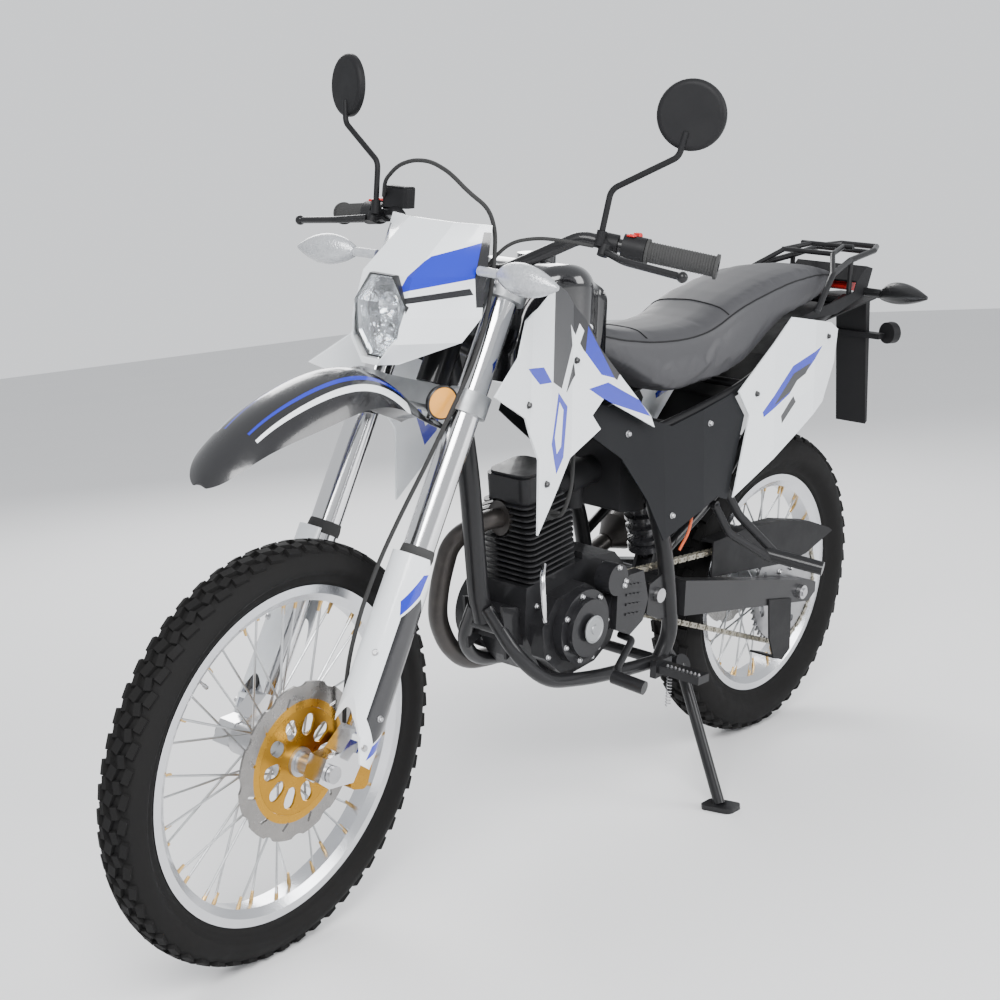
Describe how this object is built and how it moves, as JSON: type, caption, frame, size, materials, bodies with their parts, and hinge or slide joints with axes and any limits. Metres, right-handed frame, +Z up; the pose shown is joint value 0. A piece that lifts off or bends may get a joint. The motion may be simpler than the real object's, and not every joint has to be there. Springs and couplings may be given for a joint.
{
  "type": "off-road motorcycle",
  "caption": "Dual-sport motorcycle with spoked wheels, high front fender, long seat, rear rack and one cylinder engine, leaning on its side stand.",
  "frame": {"origin": "middle of the bounding box at the floor", "axes": "+X forward along the bike, +Y to its left, +Z up; it leans to the left on its stand"},
  "size_m": [2.1357, 0.8397, 1.4582],
  "materials": {
    "tyre_rubber": "worn rubber",
    "rim_black": "black anodised",
    "hub_alloy": "cast alloy",
    "disc_steel": "ground steel",
    "carrier_gold": "gold anodised",
    "sprocket_alloy": "machined",
    "clamp_alloy": "cast alloy",
    "fork_chrome": "hard chrome",
    "white_plastic": "white moulded",
    "black_plastic": "textured black",
    "gloss_black": "gloss black",
    "black_metal": "satin black",
    "engine_black": "matt black",
    "axle_steel": "zinc plated",
    "lamp_glass": "clear lens",
    "red_lens": "red lens",
    "amber_lens": "amber lens",
    "mirror_face": "silvered",
    "grip_rubber": "soft rubber",
    "hose_rubber": "braided hose",
    "seat_cover": "grained seat cover",
    "exhaust_steel": "heat stained steel",
    "chain_steel": "oiled chain",
    "shock_spring": "painted spring"
  },
  "bodies": {
    "front_wheel": {"front_tyre": "tyre_rubber", "front_rim": "rim_black", "front_hub": "hub_alloy", "front_disc": "disc_steel", "front_disc_carrier": "carrier_gold"},
    "rear_wheel": {"rear_tyre": "tyre_rubber", "rear_rim": "rim_black", "rear_hub": "hub_alloy", "rear_disc": "disc_steel", "rear_sprocket": "sprocket_alloy"},
    "steering": {"fork_clamps": "clamp_alloy", "fork_tubes": "black_metal", "fork_legs": "fork_chrome", "fork_guards": "white_plastic", "front_axle": "axle_steel", "front_caliper": "black_metal", "front_fender": "gloss_black", "headlight_mask": "white_plastic", "headlight": "lamp_glass", "instrument": "black_plastic", "handlebar": "black_metal", "grips": "grip_rubber", "controls": "black_plastic", "levers": "black_metal", "mirrors": "black_plastic", "mirror_glass": "mirror_face", "front_indicators": "amber_lens", "brake_hose": "hose_rubber", "clutch_cable": "hose_rubber"},
    "stand": {"side_stand": "black_metal"},
    "chassis": {"frame": "black_metal", "subframe": "black_metal", "swingarm": "clamp_alloy", "rear_axle": "axle_steel", "pivot_bolt": "axle_steel", "rear_shock": "shock_spring", "crankcase": "engine_black", "engine_covers": "engine_black", "cylinder": "engine_black", "exhaust": "exhaust_steel", "intake": "black_plastic", "airbox": "black_plastic", "chain": "chain_steel", "output_sprocket": "axle_steel", "chain_guard": "black_plastic", "tank": "gloss_black", "shrouds": "white_plastic", "side_covers": "black_plastic", "tail_panels": "white_plastic", "tail_cover": "black_plastic", "seat": "seat_cover", "rear_fender": "black_plastic", "tail_light": "red_lens", "rear_indicators": "amber_lens", "rack": "black_metal", "footrests": "black_metal", "passenger_footrests": "black_metal", "foot_levers": "black_metal", "rear_caliper": "black_metal"}
  },
  "joints": [
    {"name": "front_wheel_spin", "type": "hinge", "parent": "steering", "child": "front_wheel", "pos_m": [0.72256, -0.11749, 0.34172], "axis": [-0.0698, 0.9825, -0.1724], "continuous": true},
    {"name": "rear_wheel_spin", "type": "hinge", "parent": "chassis", "child": "rear_wheel", "pos_m": [-0.67725, -0.1244, 0.33347], "axis": [-0.0001, 0.9903, -0.1392], "continuous": true},
    {"name": "steering_turn", "type": "hinge", "parent": "chassis", "child": "steering", "pos_m": [0.65802, -0.1274, 0.31137], "axis": [-0.4379, 0.1251, 0.8903], "range_deg": [-46.45, 37.55]},
    {"name": "stand_fold", "type": "hinge", "parent": "chassis", "child": "stand", "pos_m": [-0.22529, -0.0087, 0.26545], "axis": [0.0792, 0.924, 0.3741], "range_deg": [0, 100]}
  ]
}
